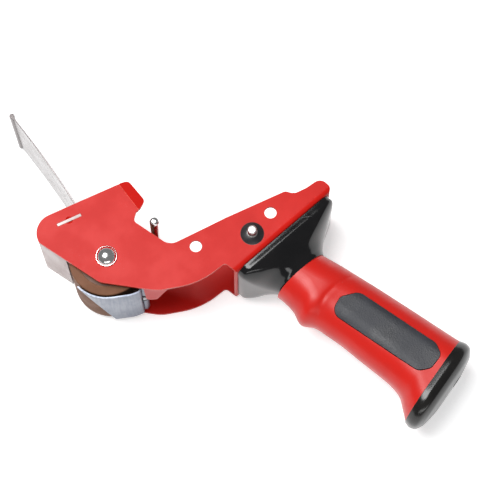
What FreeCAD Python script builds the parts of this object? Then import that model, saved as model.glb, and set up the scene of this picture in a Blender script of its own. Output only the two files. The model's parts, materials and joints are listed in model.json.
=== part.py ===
import FreeCAD
import Part
import math
import os

from FreeCAD import Vector

# Hand-held packing-tape gun, lying on its side. Millimetres.
# While it is built, the roller axis is at X = Y = 0, +X runs back to the handle along the head's
# top edge, +Y runs towards the wiper flap, and +Z is the roller axis. The outer face of the far
# side plate lies at Z = 0. At the end everything is moved so that the origin is the bottom
# centre of the whole gun.

# ---- frame -------------------------------------------------------------------------------
FRAME_WIDTH = 56.0          # over both side plates, for 50 mm tape
SHEET = 1.8                 # frame sheet thickness
BEND = 3.2                  # outer bend radius of the folded frame
HEAD_TOP = 36.5             # top edge of the head above the roller axis
NOSE_X = -31.4              # foremost point of the near plate
NOSE_ROUND = 11.5
FRONT_TOP, FRONT_FOOT = (-31.4, 24.0), (-9.6, -12.2)   # ends of the straight front edge
REAR_TOP = -8.0             # straight top edge of the plates behind the neck
WEB_FRONT = (63.0, -39.6)   # front end of the web's outer face
WEB_ANGLE = 16.5            # web direction, from +X
WEB_LENGTH = 72.0
LIP_WIDTH = 5.6             # folded lip at the rear corner of the head
LIP_ANGLE = 14.0
FLANGE_DEPTH = 23.0         # guard flange folded in from the near plate's lower edge
HOLE_R = 3.5                # two bracket holes through both plates
HOLE_FRONT = (48.5, -16.1)
HOLE_SPACING = 47.0
GAP = 0.3                   # general clearance beside the plates

# ---- nose, blade and wiper ----------------------------------------------------------------
NOSE_SHEET = 1.5            # bent nose plate with the two staked tabs
NOSE_Y = 28.85              # middle of the cross portion's thickness
TAB_FROM, TAB_TO = -17.7, -3.1
NOSE_REAR = 1.0             # rear end of the cross portion
WALL_INSET = 0.9            # wall behind the near plate's slanting front edge
NOSE_INSET = 0.2            # and behind its foremost point
WALL_LENGTH = 18.6
NOSE_BEND, KNEE_BEND = 1.9, 2.0        # middle bend radii of the nose plate
SLOT_GAP = 0.15
STAKE_R, STAKE_DEPTH = 3.0, 1.0     # ball-ended punch that stakes each tab
BLADE_SHEET = 0.8
BLADE_FROM, BLADE_TO = -27.6, -7.0
TOOTH_PITCH, TOOTH_HEIGHT = 2.0, 1.8
FLAP_SHEET = 0.8
FLAP_FOOT = (-16.0, -2.4)   # foot of the wiper flap, from front to bend
FLAP_TIP = (-14.9, 101.5)
FLAP_BOW = 0.9
BEAD_R = 1.6
CLAMP_SHEET = 1.5
CLAMP_FROM, CLAMP_TO = -15.5, -5.6
CLAMP_X = -10.5             # line of the clamp screws
CLAMP_Z = (14.0, 42.0)
M3, M3_HEAD_R, M3_HEAD, M3_NUT = 1.5, 2.75, 1.8, 2.4

# ---- roller --------------------------------------------------------------------------------
ROLLER_R = 21.75
ROLLER_FROM, ROLLER_TO = 4.2, 51.8
TREAD_WALL = 5.5
CORE_WALL = 2.2
HUB_R = 8.5
BUSH_R, BUSH_FLANGE_R, BUSH_FLANGE, BUSH_LENGTH = 6.0, 7.6, 1.4, 12.0
AXLE_R = 4.0
RUN_FIT = 0.05              # running clearance on a radius
AXLE_HEAD_R, AXLE_HEAD = 6.0, 1.5
CAP_R, CAP_HEIGHT, CAP_BORE_DEPTH = 6.1, 4.4, 2.2
WASHER_R = 7.4

# ---- tape tongue -----------------------------------------------------------------------------
TONGUE_GAP = 1.0            # between tread and tongue
TONGUE_SHEET = 0.9
TONGUE_FROM, TONGUE_TO = 4.5, 51.5
TONGUE_LEAVES = -107.0      # angle at which the tongue leaves the tread
TONGUE_FREE = -160.0        # angle of the free edge before its slanting cut
TONGUE_KNEE = (3.8, -25.4)
TONGUE_CORNER = (9.4, -25.6)
PIVOT = (12.0, -22.1)
PIN_R = 1.5
PIN_SOCKET = 0.9            # depth of the blind sockets in the side plates
BARREL_R = 2.4
SLANT_AZIMUTH, SLANT_TILT = 202.5, 10.0
SPRING_WIRE, SPRING_TURNS = 0.9, 5

# ---- guide rod, hub stud ---------------------------------------------------------------------
ROD_AT, ROD_R, ROD_TOP = (33.3, 7.6), 2.75, 56.6
ROD_RIVET_R = 1.9
LUG_R = 5.2
STUD_AT, STUD_R, STUD_TOP = (80.7, -23.0), 3.0, 64.0
STUD_END_R, STUD_SHOULDER = 2.7, 58.9     # free end that takes a hub arm
STUD_HEAD_R = 5.2
SPACER_R = 6.0
DISH_R, DISH_HEIGHT, DISH_SHEET = 6.8, 2.0, 0.8

# ---- handle ------------------------------------------------------------------------------------
GRIP_ANGLE = -60.5          # grip axis, from +X
COLLAR_HEIGHT = 21.0        # from the web to the top of the grip
COLLAR_SIDE = 1.0           # collar inside the frame width, each side
GRIP_TOP = (100.0, -50.5)   # where the grip axis meets the collar's lower face
GRIP_END = 97.0
CORE_LOW, CORE_HIGH, CORE_Z = -9.0, 11.0, 17.0
CORE_TOP = -10.0            # socketed this far into the collar, along the grip axis
CORE_END = 93.0
CORE_BORE_R = 4.0
INSERT_FLOOR = 10.4
INSERT_PROUD = 0.5
INSERT_GAP = 0.35
HANDLE_SCREWS = (14.0, 54.0)     # along the web, from its front end
SCREW_R, SCREW_HEAD_R, SCREW_HEAD, SCREW_LENGTH = 2.5, 4.6, 2.6, 12.0
BUTT_SCREW_R, BUTT_SCREW_HEAD_R, BUTT_SCREW_HEAD, BUTT_SCREW_LENGTH = 2.0, 3.8, 1.6, 22.0
BUTT_SEAT = 105.2           # station of the screw head's seat in the cap
PLUG_LENGTH = 12.0

MID = FRAME_WIDTH / 2
NEAR_IN = FRAME_WIDTH - SHEET    # inner face of the near plate
UP = Vector(0, 0, 1)


# ---- helpers -------------------------------------------------------------------------------------
def rounded_wire(corners):
    """Closed wire through (x, y, radius) corners, each rounded by a tangent arc."""
    edges = []
    starts, ends = [], []
    count = len(corners)
    for i in range(count):
        before = Vector(*corners[i - 1][:2])
        here = Vector(*corners[i][:2])
        after = Vector(*corners[(i + 1) % count][:2])
        radius = corners[i][2]
        a = (before - here).normalize()
        b = (after - here).normalize()
        half = a.getAngle(b) / 2
        if radius <= 0:
            starts.append(here)
            ends.append(here)
            continue
        reach = radius / math.tan(half)
        first, last = here + a * reach, here + b * reach
        bisector = (a + b).normalize()
        middle = here + bisector * (radius / math.sin(half) - radius)
        starts.append(first)
        ends.append(last)
        edges.append((i, Part.Arc(first, middle, last).toShape()))
    arcs = dict(edges)
    chain = []
    for i in range(count):
        if i in arcs:
            chain.append(arcs[i])
        following = starts[(i + 1) % count]
        if (following - ends[i]).Length > 1e-6:
            chain.append(Part.LineSegment(ends[i], following).toShape())
    return Part.Wire(chain)


def prism(corners, z_from, z_to):
    """Upright prism over a rounded outline."""
    face = Part.Face(rounded_wire(corners))
    face.translate(Vector(0, 0, z_from))
    return face.extrude(Vector(0, 0, z_to - z_from))


def rod(at, radius, z_from, z_to):
    """Cylinder along Z."""
    return Part.makeCylinder(radius, z_to - z_from, Vector(at[0], at[1], z_from), UP)


def tube(at, outer, inner, z_from, z_to):
    """Tube along Z."""
    return rod(at, outer, z_from, z_to).cut(rod(at, inner, z_from, z_to))


def cone(at, r_low, r_high, z_from, z_to):
    """Cone along Z."""
    return Part.makeCone(r_low, r_high, z_to - z_from, Vector(at[0], at[1], z_from), UP)


def sheet(path, thickness, z_from, z_to):
    """Bent sheet: an open path of (x, y, middle bend radius) given a thickness across it."""
    sides = []
    for side in (1, -1):
        corners = []
        for i, (x, y, radius) in enumerate(path):
            here = Vector(x, y)
            ahead = Vector(*path[min(i + 1, len(path) - 1)][:2]) - here
            behind = here - Vector(*path[max(i - 1, 0)][:2])
            if i == 0:
                behind = ahead
            if i == len(path) - 1:
                ahead = behind
            ahead.normalize()
            behind.normalize()
            turn = behind.x * ahead.y - behind.y * ahead.x
            normal = Vector(-behind.y - ahead.y, behind.x + ahead.x).normalize()
            stretch = thickness / 2 / math.sqrt((1 + behind.dot(ahead)) / 2)
            corner = here + normal * (side * stretch)
            bend = radius - side * math.copysign(thickness / 2, turn) if radius > 0 else 0
            corners.append((corner.x, corner.y, bend))
        sides.append(corners)
    return prism(sides[0] + sides[1][::-1], z_from, z_to)


def polar(radius, degrees):
    """Point on a circle about the roller axis."""
    return radius * math.cos(math.radians(degrees)), radius * math.sin(math.radians(degrees))


def web_frame(shape):
    """Move a shape from the web's own axes (along the web, away from the handle, Z)."""
    shape.rotate(Vector(0, 0, 0), UP, WEB_ANGLE)
    shape.translate(Vector(WEB_FRONT[0], WEB_FRONT[1], 0))
    return shape


def fuse(shapes):
    """One solid from touching shapes."""
    return shapes[0].multiFuse(shapes[1:]).removeSplitter()


# ---- frame -----------------------------------------------------------------------------------------
def front_point(inset, x=None):
    """Point on the slanting front edge, moved inwards, at its foot or at a given X."""
    top, foot = Vector(*FRONT_TOP), Vector(*FRONT_FOOT)
    along = (foot - top).normalize()
    inward = Vector(-along.y, along.x)
    start = foot + inward * inset
    if x is None:
        return start
    return start + along * ((x - start.x) / along.x)


def plate_corners(front=0.0, lower=0.0):
    """Outline of a side plate, clockwise from the head's rear top corner.

    Its nose is set back by front, and its slanting front edge by lower.
    """
    web = Vector(math.cos(math.radians(WEB_ANGLE)), math.sin(math.radians(WEB_ANGLE)))
    web_start = Vector(WEB_FRONT[0], WEB_FRONT[1])
    rear = web_start + web * WEB_LENGTH
    hole_rear = HOLE_FRONT[0] + HOLE_SPACING
    nose_x = NOSE_X + front
    foot, brow = front_point(lower), front_point(lower, nose_x)
    return [
        (24.5, HEAD_TOP, 1.5), (28.6, 17.3, 1.2), (26.2, 17.0, 1.5), (22.6, 12.6, 3.0),
        (35.3, REAR_TOP - 1.3, 8.0), (hole_rear - 24, REAR_TOP, 40.0),
        (hole_rear + 13.0, REAR_TOP, 3.0), (hole_rear + 17.3, REAR_TOP - 3.6, 6.0),
        (hole_rear + 25.0, REAR_TOP - 3.4, 9.0), (rear.x - 1.5, REAR_TOP - 1.6, 5.0),
        (rear.x + 1.4, rear.y + 2.0, 3.0), (rear.x - 0.9, rear.y, 3.0),
        (web_start.x, web_start.y, 0.8),
        (59.3, -32.2, 2.4), (41.0, -36.6, 45.0), (18.0, -30.6, 22.0), (4.0, -21.2, 14.0),
        (foot.x, foot.y, 9.0), (brow.x, brow.y, 3.0), (nose_x, HEAD_TOP, NOSE_ROUND - 1.3 * front),
    ]


def far_setback(gap=GAP):
    """How far the far plate's nose and front edge lie behind the near plate's."""
    return NOSE_INSET + NOSE_SHEET + gap, WALL_INSET + NOSE_SHEET + gap


def frame_channel():
    """Folded U section, long enough to be trimmed to the plates' outline."""
    long_from, long_to, tall = -115.0, 90.0, 120.0

    def trough(offset, radius):
        box = Part.makeBox(long_to - long_from, tall, FRAME_WIDTH - 2 * offset,
                           Vector(long_from, offset, offset))
        bends = [e for e in box.Edges if abs(e.CenterOfMass.y - offset) < 1e-6
                 and e.Length > tall * 1.5]
        return box.makeFillet(radius, bends)

    return web_frame(trough(0.0, BEND).cut(trough(SHEET, BEND - SHEET)))


def head_lip():
    """Folded lip on the near plate, along the rear edge of the head."""
    low, high = Vector(28.6, 17.3, 0), Vector(24.5, HEAD_TOP, 0)
    length = (high - low).Length
    # drawn with the bend line on +Y, outwards on +X
    shape = prism([(-0.9, 0.6, 0), (0.5, 0.4, 0), (LIP_WIDTH, 3.0, 3.2),
                   (LIP_WIDTH - 0.6, length - 1.2, 3.0), (0.3, length, 0), (-0.9, length, 0)],
                  0, SHEET)
    shape.rotate(Vector(0, 0, 0), Vector(0, 1, 0), LIP_ANGLE)
    lean = math.degrees(math.atan2(low.x - high.x, high.y - low.y))
    shape.rotate(Vector(0, 0, 0), UP, lean)
    shape.translate(Vector(low.x, low.y, NEAR_IN))
    return shape


def guard_flange():
    """Small guard folded inwards from the near plate's lower edge, behind the tongue."""
    left, right = Vector(11.3, -26.1, 0), Vector(24.2, -31.9, 0)
    along = (right - left)
    length = along.Length
    outline = [(0, 0.2, 0), (length, 0.2, 0), (length - 0.5, -1.0, 0), (6.4, -FLANGE_DEPTH, 3.0),
               (0.6, -FLANGE_DEPTH, 3.0)]
    shape = prism(outline, 0, SHEET)
    shape.rotate(Vector(0, 0, 0), Vector(1, 0, 0), 90)
    shape.translate(Vector(0, SHEET, NEAR_IN))
    shape.rotate(Vector(0, 0, 0), UP, math.degrees(math.atan2(along.y, along.x)))
    shape.translate(left)
    return shape


def slot_box(z_from, z_to):
    """Opening in a side plate for a tab of the nose plate."""
    return Part.makeBox(TAB_TO - TAB_FROM + 2 * SLOT_GAP, NOSE_SHEET + 2 * SLOT_GAP, z_to - z_from,
                        Vector(TAB_FROM - SLOT_GAP, NOSE_Y - NOSE_SHEET / 2 - SLOT_GAP, z_from))


def frame():
    """Folded frame: two side plates, the web between them, lip, flange, lug and holes."""
    near_outline = prism(plate_corners(), MID, FRAME_WIDTH + 1)
    far_outline = prism(plate_corners(*far_setback()), -1, MID)
    body = frame_channel().common(near_outline.fuse(far_outline).removeSplitter())
    lug = rod(ROD_AT, LUG_R, 0, SHEET).fuse(
        prism([(24.0, 5.0, 0), (40.0, -14.0, 0), (ROD_AT[0] + 4.2, ROD_AT[1] - 3.1, 0),
               (ROD_AT[0] - 4.4, ROD_AT[1] + 2.8, 0)], 0, SHEET))
    body = fuse([body, lug, head_lip(), guard_flange()])
    through = [-1, FRAME_WIDTH + 1]
    body = body.cut(rod(HOLE_FRONT, HOLE_R, *through))
    body = body.cut(rod((HOLE_FRONT[0] + HOLE_SPACING, HOLE_FRONT[1]), HOLE_R, *through))
    body = body.cut(rod((0, 0), AXLE_R, *through))
    body = body.cut(cone((0, 0), AXLE_HEAD_R, AXLE_R, 0, AXLE_HEAD))
    body = body.cut(rod(STUD_AT, STUD_R, *through))
    body = body.cut(cone(STUD_AT, STUD_HEAD_R, STUD_R, 0, AXLE_HEAD))
    body = body.cut(rod(ROD_AT, ROD_RIVET_R, -1, SHEET + 1))
    body = body.cut(rod(PIVOT, PIN_R, SHEET - PIN_SOCKET, NEAR_IN + PIN_SOCKET))
    body = body.cut(slot_box(-1, SHEET + 1)).cut(slot_box(NEAR_IN - 1, FRAME_WIDTH + 1))
    middle = (TAB_FROM + TAB_TO) / 2
    body = body.cut(Part.makeSphere(STAKE_R, Vector(middle, NOSE_Y, FRAME_WIDTH + STAKE_R - STAKE_DEPTH)))
    for along in HANDLE_SCREWS:
        hole = Part.makeCylinder(SCREW_R + 0.2, 3 * SHEET, Vector(along, -SHEET, MID), Vector(0, 1, 0))
        body = body.cut(web_frame(hole))
    return body


# ---- nose, blade and wiper ----------------------------------------------------------------------------
def nose_plate():
    """Cross plate staked into both side plates; its front wall reaches over the far plate's edge."""
    half = NOSE_SHEET / 2
    front_x = NOSE_X + NOSE_INSET + half
    knee = front_point(WALL_INSET + half, front_x)
    foot = knee + (front_point(0) - front_point(0, NOSE_X)).normalize() * WALL_LENGTH
    path = [(NOSE_REAR, NOSE_Y, 0), (front_x, NOSE_Y, NOSE_BEND), (knee.x, knee.y, KNEE_BEND), (foot.x, foot.y, 0)]
    body = sheet(path, NOSE_SHEET, SHEET + GAP, NEAR_IN - GAP)
    over_edge = sheet(path, NOSE_SHEET, 0, SHEET + GAP).cut(
        prism(plate_corners(*far_setback(0.0)), -1, SHEET + GAP))
    tabs = Part.makeBox(TAB_TO - TAB_FROM, NOSE_SHEET, FRAME_WIDTH, Vector(TAB_FROM, NOSE_Y - half, 0))
    body = fuse([body, over_edge, tabs])
    for z in CLAMP_Z:
        body = body.cut(clamp_bore(z, M3 + 0.15))
    return body


def clamp_bore(z, radius):
    """Cylinder along Y on a clamp screw's line, through the whole stack."""
    return Part.makeCylinder(radius, 20, Vector(CLAMP_X, NOSE_Y - 10, z), Vector(0, 1, 0))


def blade():
    """Serrated cutting blade, flat on the cross plate, with its teeth forward."""
    low = NOSE_Y + NOSE_SHEET / 2
    z_from, z_to = SHEET + GAP, NEAR_IN - GAP
    count = int((z_to - z_from) / TOOTH_PITCH)
    margin = (z_to - z_from - count * TOOTH_PITCH) / 2
    points = [(BLADE_TO, z_from), (BLADE_FROM, z_from)]
    for i in range(count):
        z = z_from + margin + i * TOOTH_PITCH
        points += [(BLADE_FROM, z + 0.01), (BLADE_FROM - TOOTH_HEIGHT, z + TOOTH_PITCH / 2)]
    points += [(BLADE_FROM, z_to - margin), (BLADE_FROM, z_to), (BLADE_TO, z_to), points[0]]
    face = Part.Face(Part.makePolygon([Vector(x, low, z) for x, z in points]))
    body = face.extrude(Vector(0, BLADE_SHEET, 0))
    for z in CLAMP_Z:
        body = body.cut(clamp_bore(z, M3 + 0.15))
    return body


def flap_level():
    """Middle of the wiper foot's thickness."""
    return NOSE_Y + NOSE_SHEET / 2 + BLADE_SHEET + FLAP_SHEET / 2


def wiper_flap():
    """Springy wiper: a clamped foot, a long gently bowed flap and a rolled bead at its tip."""
    z_from, z_to = SHEET + GAP, NEAR_IN - GAP
    foot_y = flap_level()
    base, tip = Vector(FLAP_FOOT[1], foot_y), Vector(*FLAP_TIP)
    along = (tip - base).normalize()
    across = Vector(along.y, -along.x)
    middle = (base + tip) * 0.5 + across * FLAP_BOW
    foot = sheet([(FLAP_FOOT[0], foot_y, 0), (base.x, base.y, 1.6),
                  (base.x + along.x * 6, base.y + along.y * 6, 0)], FLAP_SHEET, z_from, z_to)
    half = FLAP_SHEET / 2
    start = base + along * 5
    left = Part.Arc(start - across * half, middle - across * half, tip - across * half)
    right = Part.Arc(tip + across * half, middle + across * half, start + across * half)
    ends = [Part.LineSegment(tip - across * half, tip + across * half).toShape(),
            Part.LineSegment(start + across * half, start - across * half).toShape()]
    face = Part.Face(Part.Wire([left.toShape(), ends[0], right.toShape(), ends[1]]))
    face.translate(Vector(0, 0, z_from))
    flap = face.extrude(Vector(0, 0, z_to - z_from))
    body = fuse([foot, flap, rod((tip.x, tip.y), BEAD_R, z_from, z_to)])
    for z in CLAMP_Z:
        body = body.cut(clamp_bore(z, M3 + 0.15))
    return body


def wiper_clamp():
    """Pressure strip that holds the flap's foot and the blade down."""
    low = flap_level() + FLAP_SHEET / 2
    body = Part.makeBox(CLAMP_TO - CLAMP_FROM, CLAMP_SHEET, FRAME_WIDTH - 2 * SHEET - 4 * GAP,
                        Vector(CLAMP_FROM, low, SHEET + 2 * GAP))
    for z in CLAMP_Z:
        body = body.cut(clamp_bore(z, M3 + 0.15))
    return body


def clamp_screws():
    """Pan-head screws through clamp, flap, blade and nose plate, one solid each."""
    top = flap_level() + FLAP_SHEET / 2 + CLAMP_SHEET
    bottom = NOSE_Y - NOSE_SHEET / 2 - M3_NUT - 1.0
    screws = []
    for z in CLAMP_Z:
        shank = Part.makeCylinder(M3, top - bottom, Vector(CLAMP_X, bottom, z), Vector(0, 1, 0))
        head = Part.makeCylinder(M3_HEAD_R, M3_HEAD, Vector(CLAMP_X, top, z), Vector(0, 1, 0))
        head = head.makeFillet(0.7, [e for e in head.Edges if abs(e.CenterOfMass.y - top - M3_HEAD) < 0.01])
        screws.append(shank.fuse(head))
    return Part.makeCompound(screws)


def clamp_nuts():
    """Hexagon nuts under the nose plate, one solid each."""
    top = NOSE_Y - NOSE_SHEET / 2
    nuts = []
    for z in CLAMP_Z:
        ring = [Vector(CLAMP_X + 3.1 * math.cos(math.radians(60 * k)), top - M3_NUT,
                       z + 3.1 * math.sin(math.radians(60 * k))) for k in range(7)]
        nut = Part.Face(Part.makePolygon(ring)).extrude(Vector(0, M3_NUT, 0))
        nuts.append(nut.cut(clamp_bore(z, M3)))
    return Part.makeCompound(nuts)


# ---- roller ------------------------------------------------------------------------------------------------
def roller_tread():
    """Rubber tread with softly broken rims."""
    body = tube((0, 0), ROLLER_R, ROLLER_R - TREAD_WALL, ROLLER_FROM, ROLLER_TO)
    rims = [e for e in body.Edges if abs(e.BoundBox.XMax - ROLLER_R) < 0.01
            and e.BoundBox.ZLength < 0.01]
    return body.makeFillet(0.8, rims)


def roller_core():
    """Moulded core: rim, web and hub, bored for the two bushes."""
    rim_r = ROLLER_R - TREAD_WALL
    web_half = 2.0
    body = fuse([
        tube((0, 0), rim_r, rim_r - CORE_WALL, ROLLER_FROM + 0.4, ROLLER_TO - 0.4),
        rod((0, 0), HUB_R, ROLLER_FROM, ROLLER_TO),
        rod((0, 0), rim_r - CORE_WALL / 2, MID - web_half, MID + web_half),
    ])
    for k in range(6):
        rib = Part.makeBox(rim_r - CORE_WALL / 2 - HUB_R + 1, 1.8, ROLLER_TO - ROLLER_FROM - 3,
                           Vector(HUB_R - 0.5, -0.9, ROLLER_FROM + 1.5))
        rib.rotate(Vector(0, 0, 0), UP, 60 * k)
        body = body.fuse(rib)
    body = body.removeSplitter()
    body = body.cut(rod((0, 0), BUSH_R, ROLLER_FROM - 1, ROLLER_FROM + BUSH_LENGTH))
    body = body.cut(rod((0, 0), BUSH_R, ROLLER_TO - BUSH_LENGTH, ROLLER_TO + 1))
    return body.cut(rod((0, 0), AXLE_R + 1, ROLLER_FROM - 1, ROLLER_TO + 1))


def roller_bushes():
    """Flanged bushes pressed into the core's ends, one solid each."""
    bore = AXLE_R + RUN_FIT
    low = tube((0, 0), BUSH_R, bore, ROLLER_FROM, ROLLER_FROM + BUSH_LENGTH).fuse(
        tube((0, 0), BUSH_FLANGE_R, bore, ROLLER_FROM - BUSH_FLANGE, ROLLER_FROM))
    high = tube((0, 0), BUSH_R, bore, ROLLER_TO - BUSH_LENGTH, ROLLER_TO).fuse(
        tube((0, 0), BUSH_FLANGE_R, bore, ROLLER_TO, ROLLER_TO + BUSH_FLANGE))
    return Part.makeCompound([low.removeSplitter(), high.removeSplitter()])


def axle_washers():
    """Thin washers between the bushes and the side plates, one solid each."""
    play = 0.1
    low = tube((0, 0), WASHER_R, AXLE_R, SHEET, ROLLER_FROM - BUSH_FLANGE - play)
    high = tube((0, 0), WASHER_R, AXLE_R, ROLLER_TO + BUSH_FLANGE + play, NEAR_IN)
    return Part.makeCompound([low, high])


def roller_axle():
    """Axle pin: countersunk head flush in the far plate, plain end under the cap."""
    return rod((0, 0), AXLE_R, 0, FRAME_WIDTH + CAP_BORE_DEPTH - 0.2).fuse(
        cone((0, 0), AXLE_HEAD_R, AXLE_R, 0, AXLE_HEAD)).removeSplitter()


def dome(at, radius, height, z_from):
    """Spherical cap, flat side down."""
    ball_r = (radius * radius + height * height) / (2 * height)
    ball = Part.makeSphere(ball_r, Vector(at[0], at[1], z_from + height - ball_r))
    return ball.common(rod(at, radius + 1, z_from, z_from + height + 1))


def axle_cap():
    """Domed push-on cap over the axle's near end, with a short rim."""
    rim = 0.9
    body = rod((0, 0), CAP_R, FRAME_WIDTH, FRAME_WIDTH + rim).fuse(
        dome((0, 0), CAP_R - 0.25, CAP_HEIGHT - rim, FRAME_WIDTH + rim))
    return body.cut(rod((0, 0), AXLE_R, FRAME_WIDTH - 1, FRAME_WIDTH + CAP_BORE_DEPTH)).removeSplitter()


# ---- tape tongue -----------------------------------------------------------------------------------------------
def tape_tongue():
    """Curved tongue that keeps the tape on the roller: hinged barrel, bent strip, slant free edge."""
    inner = ROLLER_R + TONGUE_GAP
    middle = inner + TONGUE_SHEET / 2
    shell = tube((0, 0), inner + TONGUE_SHEET, inner, TONGUE_FROM, TONGUE_TO)
    free = polar(60, TONGUE_FREE)
    leave = polar(60, TONGUE_LEAVES)
    wedge = prism([(0, 0, 0), (free[0], free[1], 0), (-60, -60, 0), (leave[0], leave[1], 0)],
                  TONGUE_FROM - 1, TONGUE_TO + 1)
    shell = shell.common(wedge)
    touch = polar(middle, TONGUE_LEAVES)
    drop = Vector(TONGUE_CORNER[0] - PIVOT[0], TONGUE_CORNER[1] - PIVOT[1])
    side = Vector(drop.y, -drop.x).normalize() * (BARREL_R - TONGUE_SHEET / 2)
    strip = sheet([(touch[0], touch[1], 0), (*TONGUE_KNEE, 18.0), (*TONGUE_CORNER, 1.9),
                   (PIVOT[0] + side.x, PIVOT[1] + side.y, 0)], TONGUE_SHEET, TONGUE_FROM, TONGUE_TO)
    body = fuse([shell, strip, rod(PIVOT, BARREL_R, TONGUE_FROM, TONGUE_TO)])
    body = body.cut(rod(PIVOT, PIN_R + RUN_FIT, TONGUE_FROM - 1, TONGUE_TO + 1))
    window = Part.makeBox(9, 9, 11, Vector(-4.5, -4.5, -5.5))
    window.translate(Vector(PIVOT[0] + 1.2, PIVOT[1] + 1.2, MID))
    body = body.cut(window)
    # slanting cut: touches the shell at its near end and runs deeper towards the far end
    knife = Part.makeBox(60, 120, 120, Vector(0, -60, -60))
    knife.rotate(Vector(0, 0, 0), Vector(0, 1, 0), SLANT_TILT)
    knife.translate(Vector((inner + TONGUE_SHEET) / math.cos(math.radians(SLANT_TILT)) - 0.2, 0, TONGUE_TO))
    knife.rotate(Vector(0, 0, 0), UP, SLANT_AZIMUTH)
    return body.cut(knife)


def tongue_pin():
    """Hinge pin of the tongue, seated in blind sockets of both side plates."""
    return rod(PIVOT, PIN_R, SHEET - PIN_SOCKET, NEAR_IN + PIN_SOCKET)


def tongue_spring():
    """Torsion spring round the hinge pin in the tongue's window."""
    coil_r = PIN_R + 0.35 + SPRING_WIRE / 2
    pitch = SPRING_WIRE + 0.15
    height = pitch * SPRING_TURNS
    helix = Part.makeHelix(pitch, height, coil_r)
    start = Vector(coil_r, 0, 0)
    circle = Part.Wire(Part.makeCircle(SPRING_WIRE / 2, start, Vector(0, 1, 0)))
    coil = Part.Wire(helix).makePipeShell([circle], True, True)
    coil.translate(Vector(PIVOT[0], PIVOT[1], MID - height / 2))
    return coil


# ---- guide rod, hub stud ----------------------------------------------------------------------------------------
def guide_rod():
    """Guide rod riveted to the far plate's lug, with a rounded near end."""
    body = fuse([rod(ROD_AT, ROD_RIVET_R, 0, SHEET + 1),
                 rod(ROD_AT, ROD_R, SHEET, ROD_TOP)])
    ends = [e for e in body.Edges if abs(e.CenterOfMass.z - ROD_TOP) < 0.01]
    return body.makeFillet(ROD_R * 0.7, ends)


def hub_stud():
    """Stud for a tape hub: countersunk in the far plate, standing out of the near one."""
    body = fuse([rod(STUD_AT, STUD_R, 0, STUD_SHOULDER), rod(STUD_AT, STUD_END_R, 0, STUD_TOP),
                 cone(STUD_AT, STUD_HEAD_R, STUD_R, 0, AXLE_HEAD)])
    ends = [e for e in body.Edges if abs(e.CenterOfMass.z - STUD_TOP) < 0.01]
    return body.makeFillet(0.9, ends)


def stud_spacer():
    """Spacer sleeve on the stud, between the side plates."""
    return tube(STUD_AT, SPACER_R, STUD_R + 0.1, SHEET, NEAR_IN)


def dished_washer():
    """Push-on dished washer that locks the stud against the near plate."""
    outer = dome(STUD_AT, DISH_R, DISH_HEIGHT + DISH_SHEET, FRAME_WIDTH)
    inner = dome(STUD_AT, DISH_R - DISH_SHEET, DISH_HEIGHT, FRAME_WIDTH)
    return outer.cut(inner).cut(rod(STUD_AT, STUD_R, FRAME_WIDTH - 1, FRAME_WIDTH + 9))


# ---- handle ----------------------------------------------------------------------------------------------------------
def rounded_section(origin, along, low, high, wide, radius):
    """Rounded rectangle: from low to high along a direction, and wide across Z about the middle."""
    half = wide / 2
    round_r = min(radius, half - 0.5, (high - low) / 2 - 0.5)
    wire = rounded_wire([(low, -half, round_r), (high, -half, round_r),
                         (high, half, round_r), (low, half, round_r)])
    normal = along.cross(UP)
    matrix = FreeCAD.Matrix(along.x, 0, normal.x, origin.x,
                            along.y, 0, normal.y, origin.y,
                            0, 1, normal.z, MID,
                            0, 0, 0, 1)
    return wire.transformGeometry(matrix)


def collar_section(depth, low, high, wide, radius):
    """Section of the collar, parallel to the web and below it."""
    angle = math.radians(WEB_ANGLE)
    along = Vector(math.cos(angle), math.sin(angle), 0)
    down = Vector(math.sin(angle), -math.cos(angle), 0)
    origin = Vector(WEB_FRONT[0], WEB_FRONT[1], 0) + down * depth
    return rounded_section(origin, along, low, high, wide, radius)


def grip_axes():
    """Direction of the grip axis, and across it towards the fingers."""
    angle = math.radians(GRIP_ANGLE)
    along = Vector(math.cos(angle), math.sin(angle), 0)
    return along, Vector(along.y, -along.x, 0)


def grip_section(station, palm, fingers, wide, radius):
    """Section of the grip across its axis."""
    along, across = grip_axes()
    origin = Vector(GRIP_TOP[0], GRIP_TOP[1], 0) + along * station
    return rounded_section(origin, across, palm, fingers, wide, radius)


def handle_collar():
    """Flared collar that carries the grip under the web."""
    wide = FRAME_WIDTH - 2 * COLLAR_SIDE
    foot = Part.makeLoft([collar_section(0, 1.0, 70.5, wide, 7), collar_section(4.5, 1.6, 70.2, wide, 8)],
                         True, True)
    neck = Part.makeLoft([collar_section(4.5, 1.6, 70.2, wide, 8), collar_section(9, 4.6, 63.5, wide - 4, 12),
                          collar_section(14, 9.8, 55.5, wide - 11, 17),
                          collar_section(COLLAR_HEIGHT, 15.4, 49.0, wide - 18.5, 17.5)], True, False)
    body = fuse([foot, neck])
    for along in HANDLE_SCREWS:
        bore = Part.makeCylinder(SCREW_R, SCREW_LENGTH, Vector(along, -SCREW_LENGTH, MID), Vector(0, 1, 0))
        body = body.cut(web_frame(bore))
    return body.cut(core_prism())


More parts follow.
